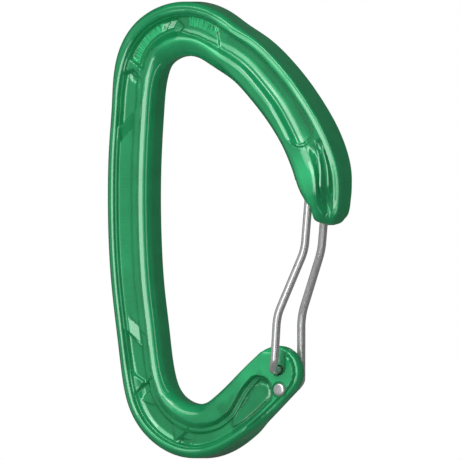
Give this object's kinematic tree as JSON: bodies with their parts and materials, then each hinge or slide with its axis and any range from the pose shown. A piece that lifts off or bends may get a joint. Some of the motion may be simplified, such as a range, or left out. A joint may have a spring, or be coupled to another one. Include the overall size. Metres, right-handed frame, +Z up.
{
  "type": "carabiner",
  "caption": "Wire-gate climbing carabiner: forged aluminium body with an I-beam section and a hooded nose, closed by a sprung bent-wire gate.",
  "frame": {"origin": "the inside of the top basket, in the middle of the section, where a bolt hanger or a sling lies", "axes": "+Z up along the spine, from the basket at the gate's hinge to the basket beside the nose; +X towards the gate; Y across the thickness"},
  "size_m": [0.0583, 0.0124, 0.0997],
  "materials": {
    "anodised_body": "gloss anodised",
    "gate_steel": "polished"
  },
  "bodies": {
    "body": {"body": "anodised_body", "gate_heel": "gate_steel"},
    "gate": {"gate_wire": "gate_steel"}
  },
  "joints": [
    {"name": "gate_hinge", "type": "hinge", "parent": "body", "child": "gate", "pos_m": [0.0224, 0, -0.0686], "axis": [0, -1, 0], "range_deg": [0, 45], "stiffness_Nm_per_rad": 0.16, "springref_deg": -28.65}
  ]
}
